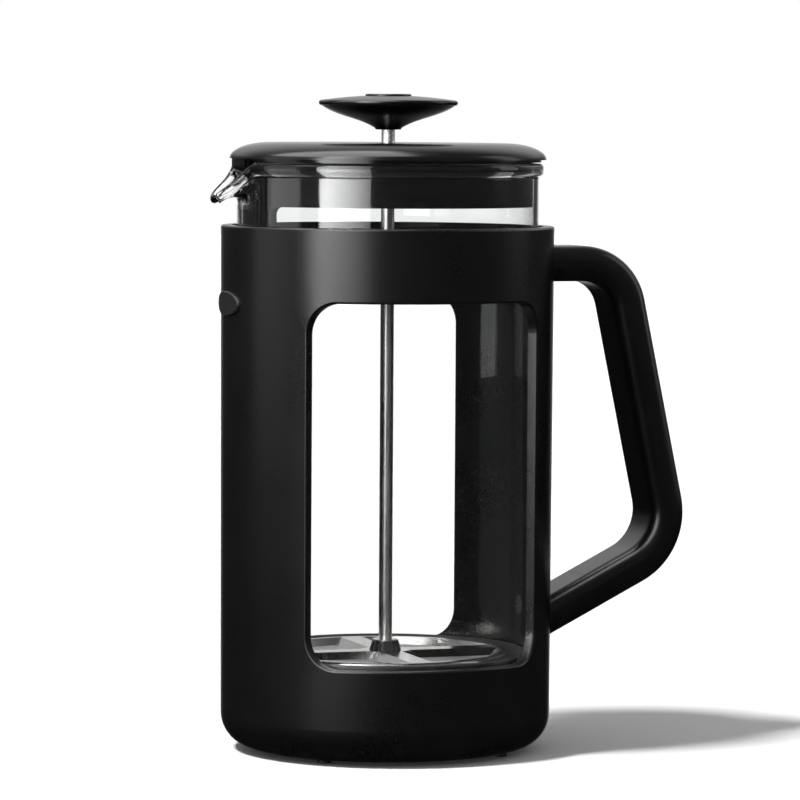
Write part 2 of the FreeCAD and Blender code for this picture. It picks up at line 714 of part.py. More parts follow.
def pocket_outline(height, grow):
    """A quarter opening between two spokes, its edges moved outwards by grow."""
    half = SPOKE_WIDTH / 2 - grow
    outer = PLATE_R - PLATE_RIM_WIDTH + grow
    inner = PLATE_BOSS_R - grow
    outer_at = math.sqrt(outer**2 - half**2)
    inner_at = math.sqrt(inner**2 - half**2)
    diagonal = math.sqrt(0.5)
    start = V(inner_at, half, height)
    edges = [
        Part.LineSegment(start, V(outer_at, half, height)).toShape(),
        Part.Arc(
            V(outer_at, half, height),
            V(outer * diagonal, outer * diagonal, height),
            V(half, outer_at, height),
        ).toShape(),
        Part.LineSegment(V(half, outer_at, height), V(half, inner_at, height)).toShape(),
        Part.Arc(
            V(half, inner_at, height),
            V(inner * diagonal, inner * diagonal, height),
            start,
        ).toShape(),
    ]
    return Part.Wire(edges)


def pocket(top_z, grow):
    """A quarter opening with sloped sides, narrower at the bottom."""
    top = pocket_outline(top_z, grow)
    bottom = pocket_outline(top_z - PLATE_DEPTH, grow - POCKET_SLOPE)
    return Part.makeLoft([top, bottom], True, True)


def plate_form(radius, top_z, edge_r):
    """A disc from the plate's underside up to top_z, with a rounded upper edge."""
    return turned([(0, MESH_HIGH_Z, 0), (radius, MESH_HIGH_Z, 0), (radius, top_z, edge_r), (0, top_z, 0)])


def make_cross_plate():
    """A pressed plate: a flat top with four spokes, and openings whose sides slope down to the mesh."""
    inner_top = PLATE_TOP_Z - PLATE_THICK
    under = plate_form(PLATE_R - PLATE_THICK, inner_top, PLATE_EDGE_R - PLATE_THICK)
    for turn in range(4):
        under = under.cut(about_z(pocket(inner_top, PLATE_THICK), 90 * turn))
    body = plate_form(PLATE_R, PLATE_TOP_Z, PLATE_EDGE_R).cut(under)
    for turn in range(4):
        body = body.cut(about_z(pocket(PLATE_TOP_Z, 0), 90 * turn))
    return body.cut(disc(SLEEVE_R + PRESS_GAP, MESH_HIGH_Z, PLATE_TOP_Z))


def make_edge_seal():
    """The soft ring round the filter's edge: a lip that meets the glass and a foot under the sieve."""
    inner = PLATE_R + PRESS_GAP
    return turned(
        [
            (SEAL_FOOT_R, SEAL_FOOT_Z, 0),
            (inner + SEAL_LIP_R, SEAL_FOOT_Z, SEAL_LIP_R / 2),
            (SEAL_HOLLOW_R, SEAL_HOLLOW_Z, SEAL_LIP_R / 2),
            (SEAL_R, SEAL_LOW_Z, SEAL_LIP_R / 2),
            (SEAL_R, SEAL_HIGH_Z, SEAL_LIP_R / 2),
            (SEAL_CREST_R, SEAL_HIGH_Z, SEAL_LIP_R / 2),
            (SEAL_VALLEY_R, SEAL_VALLEY_Z, SEAL_LIP_R),
            (inner, SEAL_VALLEY_Z, 0),
            (inner, SIEVE_LOW_Z, 0),
            (SEAL_FOOT_R, SIEVE_LOW_Z, 0),
        ]
    )


def make_mesh_screen():
    return ring(SLEEVE_R + PRESS_GAP, PLATE_R, MESH_LOW_Z, MESH_HIGH_Z)


def make_sieve_plate():
    """The plate under the mesh, pierced by rings of holes."""
    body = ring(SLEEVE_R + PRESS_GAP, PLATE_R, SIEVE_LOW_Z, MESH_LOW_Z)
    holes = []
    for circle_r, count in SIEVE_RINGS:
        for i in range(count):
            angle = 2 * math.pi * i / count
            place = V(circle_r * math.cos(angle), circle_r * math.sin(angle), SIEVE_LOW_Z)
            holes.append(Part.makeCylinder(SIEVE_HOLE_R, SIEVE_THICK, place))
    return body.cut(Part.makeCompound(holes))


def make_hub_sleeve():
    """The tube that the rod screws into. It runs through the stack and carries the nut."""
    body = disc(SLEEVE_R, SLEEVE_LOW_Z, PLATE_TOP_Z)
    return body.cut(disc(HUB_BORE_R, ROD_LOW_Z - GAP, PLATE_TOP_Z))


def make_hub_collar():
    """The ribbed cone on top of the plate that the rod goes into."""
    body = Part.makeCone(HUB_LOW_R, HUB_HIGH_R, HUB_HEIGHT, V(0, 0, PLATE_TOP_Z))
    lean = V(HUB_HIGH_R - HUB_LOW_R, 0, HUB_HEIGHT)
    groove_start = V(HUB_LOW_R, 0, PLATE_TOP_Z) - lean / 2
    groove = Part.makeCylinder(HUB_GROOVE_R, 2 * lean.Length, groove_start, lean)
    for i in range(HUB_RIBS):
        body = body.cut(about_z(groove, 360 * i / HUB_RIBS))
    return body.cut(disc(HUB_BORE_R, PLATE_TOP_Z, HUB_HIGH_Z))


def make_hub_washer():
    return ring(HUB_BORE_R, WASHER_R, HUB_HIGH_Z, HUB_HIGH_Z + WASHER_THICK)


def make_retaining_nut():
    corner_r = NUT_FLAT_R / math.cos(math.pi / 6)
    low = SIEVE_LOW_Z - NUT_HEIGHT
    angles = [math.pi / 3 * i for i in range(7)]
    points = [V(corner_r * math.cos(a), corner_r * math.sin(a), low) for a in angles]
    hexagon = Part.Face(Part.Wire(Part.makePolygon(points))).extrude(UP * NUT_HEIGHT)
    return hexagon.cut(disc(SLEEVE_R + PRESS_GAP, low, SIEVE_LOW_Z))


def all_nodes():
    nodes = {
        "shell": make_shell(),
        "handle": make_handle(),
        "handle_cover": make_handle_cover(),
        "handle_screws": make_handle_screws(),
        "badge": make_badge(),
        "base_cushion": make_base_cushion(),
        "carafe_bumpers": make_bumpers(),
        "carafe": make_carafe(),
        "lid_cap": make_lid_cap(),
        "lid_strainer": make_lid_strainer(),
        "rod_bushing": make_rod_bushing(),
        "knob_body": make_knob_body(),
        "knob_top": make_knob_top(),
        "knob_centre_cap": make_knob_centre_cap(),
        "knob_insert": make_knob_insert(),
        "plunger_rod": make_rod(),
        "cross_plate": make_cross_plate(),
        "edge_seal": make_edge_seal(),
        "mesh_screen": make_mesh_screen(),
        "sieve_plate": make_sieve_plate(),
        "hub_sleeve": make_hub_sleeve(),
        "hub_collar": make_hub_collar(),
        "hub_washer": make_hub_washer(),
        "retaining_nut": make_retaining_nut(),
    }
    for i, (x, y) in enumerate(foot_places()):
        nodes[f"foot_{i + 1}"] = make_foot(x, y)
    return nodes


os.makedirs("parts", exist_ok=True)
for name, shape in all_nodes().items():
    shape.exportStep(f"parts/{name}.step")
    box = shape.BoundBox
    print(
        f"{name}: valid {shape.isValid()}, solids {len(shape.Solids)}, {shape.Volume / 1000:.2f} cm3,"
        f" X {box.XMin:.1f}..{box.XMax:.1f} Y {box.YMin:.1f}..{box.YMax:.1f} Z {box.ZMin:.1f}..{box.ZMax:.1f}"
    )
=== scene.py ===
import json
import math

import bmesh
import bpy
from mathutils import Matrix, Vector


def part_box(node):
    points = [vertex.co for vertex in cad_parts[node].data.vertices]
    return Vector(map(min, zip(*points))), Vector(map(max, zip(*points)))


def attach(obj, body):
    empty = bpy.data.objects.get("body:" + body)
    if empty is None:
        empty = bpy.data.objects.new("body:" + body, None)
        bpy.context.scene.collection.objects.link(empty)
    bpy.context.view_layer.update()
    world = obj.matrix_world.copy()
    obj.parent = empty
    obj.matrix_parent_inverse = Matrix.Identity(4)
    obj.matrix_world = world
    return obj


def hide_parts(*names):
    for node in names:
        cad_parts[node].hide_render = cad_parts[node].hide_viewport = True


# The looks of a french press: finishes for the CAD parts, a blown-glass carafe with a pulled spout,
# a knurled plunger rod and a woven filter screen. Metres, in the CAD model's frame.

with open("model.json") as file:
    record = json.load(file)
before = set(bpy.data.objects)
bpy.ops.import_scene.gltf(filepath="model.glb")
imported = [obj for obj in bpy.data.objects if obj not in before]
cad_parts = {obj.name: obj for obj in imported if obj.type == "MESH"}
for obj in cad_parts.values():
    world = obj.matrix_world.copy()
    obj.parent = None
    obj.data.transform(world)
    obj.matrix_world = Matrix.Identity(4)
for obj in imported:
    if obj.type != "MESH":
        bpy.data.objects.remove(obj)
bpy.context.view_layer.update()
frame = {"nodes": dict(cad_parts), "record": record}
nodes = frame["nodes"]

MM = 0.001
UP = Vector((0, 0, 1))


# ---- Shader helpers


def new_material(name):
    """An empty node material: its node tree and its Principled shader."""
    material = bpy.data.materials.new(name)
    material.use_nodes = True
    shader = material.node_tree.nodes["Principled BSDF"]
    return material, material.node_tree, shader


def object_coordinates(tree, scale=(1, 1, 1)):
    """Coordinates fixed to the object in metres, times scale. A larger scale makes a finer pattern."""
    source = tree.nodes.new("ShaderNodeTexCoord")
    mapping = tree.nodes.new("ShaderNodeMapping")
    mapping.inputs["Scale"].default_value = scale
    tree.links.new(source.outputs["Object"], mapping.inputs["Vector"])
    return mapping.outputs["Vector"]


def noise(tree, vector, scale, detail=2.0, roughness=0.5):
    node = tree.nodes.new("ShaderNodeTexNoise")
    node.inputs["Scale"].default_value = scale
    node.inputs["Detail"].default_value = detail
    node.inputs["Roughness"].default_value = roughness
    tree.links.new(vector, node.inputs["Vector"])
    return node.outputs["Fac"]


def spread(tree, value, low, high, start=0.3, end=0.7):
    """Maps value from the range start to end onto the range low to high."""
    node = tree.nodes.new("ShaderNodeMapRange")
    node.inputs["From Min"].default_value = start
    node.inputs["From Max"].default_value = end
    node.inputs["To Min"].default_value = low
    node.inputs["To Max"].default_value = high
    tree.links.new(value, node.inputs["Value"])
    return node.outputs["Result"]


def blend_colours(tree, factor, first, second):
    node = tree.nodes.new("ShaderNodeMix")
    node.data_type = "RGBA"
    node.inputs["A"].default_value = (*first, 1)
    node.inputs["B"].default_value = (*second, 1)
    tree.links.new(factor, node.inputs["Factor"])
    return node.outputs["Result"]


def calculate(tree, operation, first, second=0.0):
    """A Math node; first and second are sockets or numbers."""
    node = tree.nodes.new("ShaderNodeMath")
    node.operation = operation
    for socket, value in zip(node.inputs, (first, second)):
        if isinstance(value, (int, float)):
            socket.default_value = value
        else:
            tree.links.new(value, socket)
    return node.outputs["Value"]


def add_bump(tree, shader, height, distance):
    """Relief of that distance in metres."""
    node = tree.nodes.new("ShaderNodeBump")
    node.inputs["Strength"].default_value = 1.0
    node.inputs["Distance"].default_value = distance
    tree.links.new(height, node.inputs["Height"])
    tree.links.new(node.outputs["Normal"], shader.inputs["Normal"])


# ---- Finishes


def moulded_plastic(name, colour, worn_colour, roughness, grain, grain_depth):
    """Moulded plastic: a fine grain, faint flow marks in the gloss and slightly paler patches."""
    material, tree, shader = new_material(name)
    place = object_coordinates(tree)
    patches = noise(tree, place, scale=38.0, detail=4.0)
    fine = noise(tree, place, grain, detail=2.0, roughness=0.6)
    tint = spread(tree, patches, 0.0, 1.0)
    tree.links.new(blend_colours(tree, tint, colour, worn_colour), shader.inputs["Base Color"])
    flow = spread(tree, patches, -0.01, 0.01)
    gloss = calculate(tree, "ADD", flow, spread(tree, fine, -0.005, 0.005))
    tree.links.new(calculate(tree, "ADD", gloss, roughness), shader.inputs["Roughness"])
    add_bump(tree, shader, fine, grain_depth)
    return material


def soft_rubber(name, colour, dusty_colour, roughness):
    """Silicone: dull, with a fine pimple and a faint bloom of dust."""
    material, tree, shader = new_material(name)
    place = object_coordinates(tree)
    bloom = noise(tree, place, scale=90.0, detail=5.0, roughness=0.65)
    pimple = noise(tree, place, scale=2600.0, detail=1.0)
    tint = spread(tree, bloom, 0.0, 1.0, start=0.4, end=0.8)
    tree.links.new(blend_colours(tree, tint, colour, dusty_colour), shader.inputs["Base Color"])
    tree.links.new(spread(tree, bloom, roughness - 0.05, roughness + 0.08), shader.inputs["Roughness"])
    add_bump(tree, shader, pimple, distance=0.00002)
    shader.inputs["Specular IOR Level"].default_value = 0.4
    return material


def drawn_steel(name, colour, roughness, fineness, depth):
    """Steel with fine scratches that run along the axes with the lowest fineness."""
    material, tree, shader = new_material(name)
    scratches = noise(tree, object_coordinates(tree, fineness), scale=1.0, detail=3.0, roughness=0.7)
    stains = noise(tree, object_coordinates(tree), scale=70.0, detail=3.0)
    darker = tuple(c * 0.86 for c in colour)
    tint = spread(tree, scratches, 0.0, 1.0)
    tree.links.new(blend_colours(tree, tint, darker, colour), shader.inputs["Base Color"])
    base = spread(tree, scratches, roughness * 0.75, roughness * 1.3)
    rougher = spread(tree, stains, -0.02, 0.03)
    tree.links.new(calculate(tree, "ADD", base, rougher), shader.inputs["Roughness"])
    add_bump(tree, shader, scratches, depth)
    shader.inputs["Metallic"].default_value = 1.0
    return material


def clear_glass(name):
    """Blown glass, faintly uneven. Rays from lamps pass straight through it."""
    material, tree, shader = new_material(name)
    place = object_coordinates(tree, (1, 1, 0.35))
    uneven = noise(tree, place, scale=55.0, detail=1.0)
    film = noise(tree, object_coordinates(tree), scale=30.0, detail=4.0, roughness=0.6)
    tint = spread(tree, film, 0.0, 1.0)
    clear, filmed = (0.992, 0.997, 0.995), (0.972, 0.982, 0.98)
    tree.links.new(blend_colours(tree, tint, clear, filmed), shader.inputs["Base Color"])
    tree.links.new(spread(tree, film, 0.0, 0.012, start=0.5, end=0.9), shader.inputs["Roughness"])
    add_bump(tree, shader, uneven, distance=0.00006)
    shader.inputs["Transmission Weight"].default_value = 1.0
    shader.inputs["IOR"].default_value = 1.47
    ray = tree.nodes.new("ShaderNodeLightPath")
    through = tree.nodes.new("ShaderNodeBsdfTransparent")
    mix = tree.nodes.new("ShaderNodeMixShader")
    output = tree.nodes["Material Output"]
    tree.links.new(ray.outputs["Is Shadow Ray"], mix.inputs["Fac"])
    tree.links.new(shader.outputs["BSDF"], mix.inputs[1])
    tree.links.new(through.outputs["BSDF"], mix.inputs[2])
    tree.links.new(mix.outputs["Shader"], output.inputs["Surface"])
    return material


def woven_wire(name, colour, pitch):
    """Plain-weave wire cloth: two crossed sets of wires, one over the other by turns. The holes between the
    wires carry painted shade: their colour is darkened.
    """
    material, tree, shader = new_material(name)
    place = object_coordinates(tree)
    axes = tree.nodes.new("ShaderNodeSeparateXYZ")
    tree.links.new(place, axes.inputs["Vector"])
    turns = math.pi / pitch
    across = calculate(tree, "SINE", calculate(tree, "MULTIPLY", axes.outputs["X"], turns))
    along = calculate(tree, "SINE", calculate(tree, "MULTIPLY", axes.outputs["Y"], turns))
    weft = calculate(tree, "ABSOLUTE", across)
    warp = calculate(tree, "ABSOLUTE", along)
    over = calculate(tree, "GREATER_THAN", calculate(tree, "MULTIPLY", across, along), 0.0)
    under = calculate(tree, "SUBTRACT", 1.0, over)
    upper_weft = calculate(tree, "MULTIPLY", weft, over)
    upper_warp = calculate(tree, "MULTIPLY", warp, under)
    relief = calculate(tree, "ADD", upper_weft, upper_warp)
    gaps = calculate(tree, "MAXIMUM", weft, warp)
    wear = noise(tree, place, scale=120.0, detail=3.0)
    # painted shade: the holes between the wires are darkened to a quarter of the wire's colour, standing in
    # for the shade in them
    dark = tuple(c * 0.25 for c in colour)
    painted_hole_shade = spread(tree, gaps, 0.0, 1.0, start=0.3, end=0.75)
    tree.links.new(blend_colours(tree, painted_hole_shade, dark, colour), shader.inputs["Base Color"])
    tree.links.new(spread(tree, wear, 0.28, 0.42), shader.inputs["Roughness"])
    add_bump(tree, shader, relief, distance=0.00012)
    shader.inputs["Metallic"].default_value = 1.0
    return material


BLACK = (0.0028, 0.0028, 0.003)
BLACK_WORN = (0.004, 0.004, 0.0042)

finishes = {
    "shell_plastic": moulded_plastic("shell_plastic", BLACK, BLACK_WORN, 0.28, 1500.0, 0.0000008),
    "handle_plastic": moulded_plastic("handle_plastic", BLACK, BLACK_WORN, 0.25, 1500.0, 0.0000008),
    "badge_rubber": moulded_plastic(
        "badge_rubber", (0.008, 0.008, 0.008), (0.012, 0.012, 0.012), 0.45, 1800.0, 0.00001
    ),
    "black_silicone": soft_rubber("black_silicone", (0.012, 0.012, 0.012), (0.03, 0.03, 0.03), 0.6),
    "seal_silicone": soft_rubber("seal_silicone", (0.01, 0.01, 0.01), (0.025, 0.025, 0.025), 0.42),
    "carafe_glass": clear_glass("carafe_glass"),
    "lid_plastic": moulded_plastic("lid_plastic", BLACK, BLACK_WORN, 0.22, 1700.0, 0.000001),
    "strainer_plastic": moulded_plastic("strainer_plastic", BLACK, BLACK_WORN, 0.13, 1700.0, 0.000001),
    "knob_plastic": moulded_plastic("knob_plastic", BLACK, BLACK_WORN, 0.25, 1700.0, 0.0000015),
    "bushing_plastic": moulded_plastic(
        "bushing_plastic", (0.02, 0.02, 0.02), (0.028, 0.028, 0.028), 0.4, 1800.0, 0.000005
    ),
    "hub_plastic": moulded_plastic(
        "hub_plastic", (0.02, 0.02, 0.02), (0.035, 0.035, 0.035), 0.42, 1800.0, 0.00001
    ),
    "pressed_steel": drawn_steel("pressed_steel", (0.45, 0.45, 0.44), 0.16, (1400, 90, 90), 0.000004),
    "mesh_steel": woven_wire("mesh_steel", (0.62, 0.62, 0.61), 0.7 * MM),
    "polished_steel": drawn_steel("polished_steel", (0.9, 0.9, 0.89), 0.27, (1800, 1800, 40), 0.000003),
    "screw_steel": drawn_steel("screw_steel", (0.45, 0.46, 0.48), 0.3, (900, 900, 900), 0.00001),
    "insert_brass": drawn_steel("insert_brass", (0.78, 0.58, 0.27), 0.28, (120, 120, 2400), 0.00001),
}


def dress_cad_nodes():
    """Gives every CAD node the finish of its material slot in the record."""
    for part in frame["record"]["subparts"]:
        target = nodes[part["node"]]
        target.data.materials.clear()
        target.data.materials.append(finishes[part["material_slot"]])


# ---- Mesh helpers


def add_piece(name, mesh, body, slot, *replaced):
    """A finished mesh as a piece that rides on body and stands for the replaced CAD nodes."""
    piece = bpy.data.objects.new(name, mesh)
    bpy.context.scene.collection.objects.link(piece)
    mesh.materials.append(finishes[slot])
    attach(piece, body)
    if replaced:
        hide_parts(*replaced)
    return piece


def ring_mesh(name, columns):
    """A closed surface from columns of points round an axis. All share their first and last points."""
    made = bmesh.new()
    first = made.verts.new(columns[0][0])
    last = made.verts.new(columns[0][-1])
    rows = [[made.verts.new(point) for point in column[1:-1]] for column in columns]
    for near, far in zip(rows, rows[1:] + rows[:1]):
        made.faces.new((first, near[0], far[0]))
        made.faces.new((last, far[-1], near[-1]))
        for i in range(len(near) - 1):
            made.faces.new((near[i], near[i + 1], far[i + 1], far[i]))
    bmesh.ops.recalc_face_normals(made, faces=made.faces)
    mesh = bpy.data.meshes.new(name)
    made.to_mesh(mesh)
    made.free()
    mesh.shade_smooth()
    return mesh


def arc(centre, radius, start_deg, end_deg, steps):
    """Points of a circle's stretch in a (radius, height) section."""
    angles = [math.radians(start_deg + (end_deg - start_deg) * i / steps) for i in range(steps + 1)]
    return [(centre[0] + radius * math.cos(a), centre[1] + radius * math.sin(a)) for a in angles]


def smooth(value, low, high):
    """0 below low, 1 above high, with a gentle start and end."""
    t = min(1.0, max(0.0, (value - low) / (high - low)))
    return t * t * (3 - 2 * t)


# ---- Carafe

glass_low, glass_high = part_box("carafe")
BEAD_R = glass_high.y
BEAD_PROUD = 1.5 * MM
BEAD_TOP_R = 1.35 * MM
GLASS_R = BEAD_R - BEAD_PROUD
RIM_Z = glass_high.z
BASE_Z = glass_low.z
WALL = 1.6 * MM
FLOOR = 2.5 * MM
CORNER_R = 13.0 * MM
BEAD_HEIGHT = 4.2 * MM
SPOUT_HALF_DEG = 17.4
SPOUT_REACH = -glass_low.x  # from the axis to the tip
# The rim round the spout: degrees from its middle, share of the way from bead to tip, and drop in metres.
SPOUT_RIM = (
    (0.0, 1.0, 10.2 * MM),
    (2.0, 0.955, 9.6 * MM),
    (4.0, 0.79, 8.1 * MM),
    (5.7, 0.58, 6.4 * MM),
    (7.0, 0.36, 4.3 * MM),
    (9.0, 0.145, 1.9 * MM),
    (12.0, 0.035, 0.5 * MM),
    (SPOUT_HALF_DEG, 0.0, 0.0),
)
SPOUT_FLOOR_Z = RIM_Z - 11.5 * MM
SPOUT_FLOOR_THICK = 1.2 * MM
SPOUT_ROOT_Z = RIM_Z - 15.5 * MM
STRAIGHT_ABOVE_ROOT = 6.0 * MM
STRAIGHT_BELOW_BEAD = 3.0 * MM
PAST_SPOUT_DEG = 4  # where a level point beyond the spout shapes the end of its curve
SPOUT_COLUMNS_DEG = 20  # to each side of the spout's middle, where the columns are close together
WALL_STEPS = 12
CORNER_STEPS = 10
BEAD_STEPS = 4


def spout_rim(degrees):
    """How far out and how low the rim is there, by a smooth curve through SPOUT_RIM."""
    at = min(abs(degrees), SPOUT_HALF_DEG)
    mirrored = [(-d, share, drop) for d, share, drop in SPOUT_RIM[1:3]][::-1]
    points = mirrored + list(SPOUT_RIM) + [(SPOUT_HALF_DEG + PAST_SPOUT_DEG, 0.0, 0.0)]
    for i in range(1, len(points) - 2):
        if points[i][0] <= at <= points[i + 1][0]:
            break
    before, start, end, after = points[i - 1 : i + 3]
    t = (at - start[0]) / (end[0] - start[0])
    values = []
    for k in (1, 2):
        slope_in = (end[k] - before[k]) / (end[0] - before[0]) * (end[0] - start[0])
        slope_out = (after[k] - start[k]) / (after[0] - start[0]) * (end[0] - start[0])
        values.append(
            (2 * t**3 - 3 * t**2 + 1) * start[k]
            + (t**3 - 2 * t**2 + t) * slope_in
            + (3 * t**2 - 2 * t**3) * end[k]
            + (t**3 - t**2) * slope_out
        )
    return values


def carafe_angles():
    """Column angles in degrees from the spout's middle, closer together at the spout."""
    fine_half, coarse_count = 50, 128
    fine = [SPOUT_COLUMNS_DEG * i / fine_half for i in range(-fine_half, fine_half + 1)]
    rest = 360 - 2 * SPOUT_COLUMNS_DEG
    return fine + [SPOUT_COLUMNS_DEG + rest * i / coarse_count for i in range(1, coarse_count)]


def rim_point(degrees):
    """The wall's place under the bead in plan, the rim's height, and the share of the spout's reach."""
    share, drop = spout_rim(degrees) if abs(degrees) < SPOUT_HALF_DEG else (0.0, 0.0)
    reach = GLASS_R + share * (SPOUT_REACH - BEAD_R)
    angle = math.radians(180 + degrees)
    return Vector((reach * math.cos(angle), reach * math.sin(angle), 0)), RIM_Z - drop, share


def cubic(a, b, c, d, steps):
    """Points of a Bezier curve, without its start."""
    made = []
    for i in range(1, steps + 1):
        t = i / steps
        u = 1 - t
        made.append(a * u**3 + b * (3 * u * u * t) + c * (3 * u * t * t) + d * t**3)
    return made


def bead_height(share):
    """The rolled rim is lower at the spout's tip."""
    return BEAD_HEIGHT * (1 - 0.3 * share)


def spout_wall(radial, place, out, rim_z, share, inset, lift):
    """The Bezier's four points for the wall up to the bead: straight up, or out along the spout's floor."""
    opening = smooth(share, 0.0, 0.3)
    root = radial * (GLASS_R - inset)
    foot = root + UP * (SPOUT_ROOT_Z + lift)
    end = place - out * inset
    turn = root + UP * (SPOUT_ROOT_Z + STRAIGHT_ABOVE_ROOT + 0.5 * MM * opening + lift)
    plain_z = RIM_Z - BEAD_HEIGHT - STRAIGHT_BELOW_BEAD
    floor_z = SPOUT_FLOOR_Z + lift
    toe = root.lerp(end, 1 - 0.5 * share) + UP * (plain_z + (floor_z - plain_z) * opening)
    return foot, turn, toe, end + UP * (rim_z - bead_height(share) + lift * (1 - opening))


def bead_points(place, out, rim_z, share):
    """The rolled rim: out under it, then over its outer and its inner edge."""
    proud = BEAD_PROUD * (1 - 0.25 * share)
    under = place + UP * (rim_z - bead_height(share))
    points = []
    for step in range(1, BEAD_STEPS + 1):
        a = math.radians(-90 + 90 * step / BEAD_STEPS)
        points.append(under + out * (proud * math.cos(a)) + UP * (proud * (1 + math.sin(a))))
    for start_deg, edge in ((0, proud - BEAD_TOP_R), (90, BEAD_TOP_R - WALL)):
        turn = arc((edge, rim_z - BEAD_TOP_R), BEAD_TOP_R, start_deg, start_deg + 90, BEAD_STEPS)
        points += [place + out * aside + UP * above for aside, above in turn]
    return points


def outer_section():
    """(radius, height) points from the middle of the base to the foot of the spout's wall."""
    base = [(0, BASE_Z)] + [(GLASS_R * i / 6, BASE_Z) for i in range(1, 5)]
    top_of_corner = BASE_Z + CORNER_R
    corner = arc((GLASS_R - CORNER_R, top_of_corner), CORNER_R, -90, 0, CORNER_STEPS)
    run = SPOUT_ROOT_Z - top_of_corner
    straight = [(GLASS_R, top_of_corner + run * i / WALL_STEPS) for i in range(1, WALL_STEPS + 1)]
    return base + corner + straight


def inner_section():
    """(radius, height) points from the foot of the spout's wall down to the middle of the floor."""
    floor_z = BASE_Z + FLOOR
    inner_r, corner_r = GLASS_R - WALL, CORNER_R - WALL
    top_of_corner = floor_z + corner_r
    run = SPOUT_ROOT_Z + SPOUT_FLOOR_THICK - top_of_corner
    straight = [(inner_r, top_of_corner + run * i / WALL_STEPS) for i in range(WALL_STEPS, 0, -1)]
    corner = arc((inner_r - corner_r, top_of_corner), corner_r, 0, -90, CORNER_STEPS)
    floor = [((inner_r - corner_r) * i / 5, floor_z) for i in range(4, -1, -1)]
    return straight + corner + floor


def carafe_column(degrees):
    """One vertical section of the glass, from the middle of its base round its wall to its floor."""
    angle = math.radians(180 + degrees)
    radial = Vector((math.cos(angle), math.sin(angle), 0))
    place, rim_z, share = rim_point(degrees)
    step_deg = 0.2
    ahead = rim_point(degrees + step_deg)[0] - rim_point(degrees - step_deg)[0]
    out = Vector((ahead.y, -ahead.x, 0)).normalized()
    outside = cubic(*spout_wall(radial, place, out, rim_z, share, 0, 0), WALL_STEPS)
    inside = cubic(*spout_wall(radial, place, out, rim_z, share, WALL, SPOUT_FLOOR_THICK), WALL_STEPS)
    outer = [radial * r + UP * z for r, z in outer_section()]
    inner = [radial * r + UP * z for r, z in inner_section()]
    return outer + outside + bead_points(place, out, rim_z, share) + inside[::-1] + inner


def make_carafe():
    mesh = ring_mesh("carafe_glass", [carafe_column(d) for d in carafe_angles()])
    return add_piece("carafe_glass", mesh, "carafe", "carafe_glass", "carafe")


# ---- Plunger rod

rod_low, rod_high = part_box("plunger_rod")
ROD_R = rod_high.x
lid_top_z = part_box("lid_cap")[1].z
KNURL_LOW = lid_top_z + 0.2 * MM
KNURL_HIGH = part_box("knob_body")[0].z + 1.5 * MM
KNURL_DEPTH = 0.16 * MM
KNURL_PITCH = 1.15 * MM


def knurl_depth(angle, z):
    """How deep the crossed grooves are at that angle and height."""
    turns = round(2 * math.pi * ROD_R / KNURL_PITCH)
    climb = 2 * math.pi * (z - KNURL_LOW) / (KNURL_PITCH * 1.25)
    right = abs(math.sin((turns * angle + climb) / 2))
    left = abs(math.sin((turns * angle - climb) / 2))
    groove = max(0.0, 1 - min(right, left) / 0.55)
    ends = smooth(z, KNURL_LOW, KNURL_LOW + 0.4 * MM) * (1 - smooth(z, KNURL_HIGH - 0.4 * MM, KNURL_HIGH))
    return KNURL_DEPTH * groove * ends


def make_rod():
    """The rod with a chamfer at each end and a band of diamond knurling under the knob."""
    chamfer = 0.4 * MM
    plain = [rod_low.z + chamfer + (KNURL_LOW - rod_low.z - chamfer) * i / 8 for i in range(9)]
    steps = 56
    knurled = [KNURL_LOW + (KNURL_HIGH - KNURL_LOW) * i / steps for i in range(1, steps + 1)]
    heights = plain + knurled + [rod_high.z - chamfer]
    columns = []
    sides = 96
    for k in range(sides):
        angle = 2 * math.pi * k / sides
        direction = Vector((math.cos(angle), math.sin(angle), 0))
        column = [Vector((0, 0, rod_low.z)), direction * (ROD_R - chamfer) + Vector((0, 0, rod_low.z))]
        for z in heights:
            depth = knurl_depth(angle, z) if KNURL_LOW < z < KNURL_HIGH else 0.0
            column.append(direction * (ROD_R - depth) + Vector((0, 0, z)))
        column.append(direction * (ROD_R - chamfer) + Vector((0, 0, rod_high.z)))
        column.append(Vector((0, 0, rod_high.z)))
        columns.append(column)
    mesh = ring_mesh("plunger_rod_knurled", columns)
    return add_piece("plunger_rod_knurled", mesh, "plunger", "polished_steel", "plunger_rod")


# ---- Studio

CAMERA_TURN = math.radians(-17.9)
CAMERA_PITCH = math.radians(3.53)
CAMERA_ROLL = math.radians(0.35)
CAMERA_DISTANCE = 1.5
CAMERA_HEIGHT = 0.205
CAMERA_ASIDE = 0.0043
CAMERA_LENS_MM = 210.24
RIGHT = Vector((math.cos(CAMERA_TURN), math.sin(CAMERA_TURN), 0))
AHEAD = Vector((-RIGHT.y, RIGHT.x, 0))
SOFTBOX_HEIGHT = 0.52
ROOM_FILL = 0.4  # the white room's strength for diffuse light


def make_camera():
    """A long lens, a little above the lid, turned so that the handle is on the right."""
    view = AHEAD * math.cos(CAMERA_PITCH) - UP * math.sin(CAMERA_PITCH)
    level_top = UP * math.cos(CAMERA_PITCH) + AHEAD * math.sin(CAMERA_PITCH)
    right = RIGHT * math.cos(CAMERA_ROLL) + level_top * math.sin(CAMERA_ROLL)
    top = level_top * math.cos(CAMERA_ROLL) - RIGHT * math.sin(CAMERA_ROLL)
    data = bpy.data.cameras.new("camera")
    data.lens = CAMERA_LENS_MM
    data.sensor_width = 36.0
    camera = bpy.data.objects.new("camera", data)
    bpy.context.scene.collection.objects.link(camera)
    axes = Matrix((right, top, -view)).transposed().to_4x4()
    place = RIGHT * CAMERA_ASIDE - AHEAD * CAMERA_DISTANCE + UP * CAMERA_HEIGHT
    camera.matrix_world = Matrix.Translation(place) @ axes
    bpy.context.scene.camera = camera


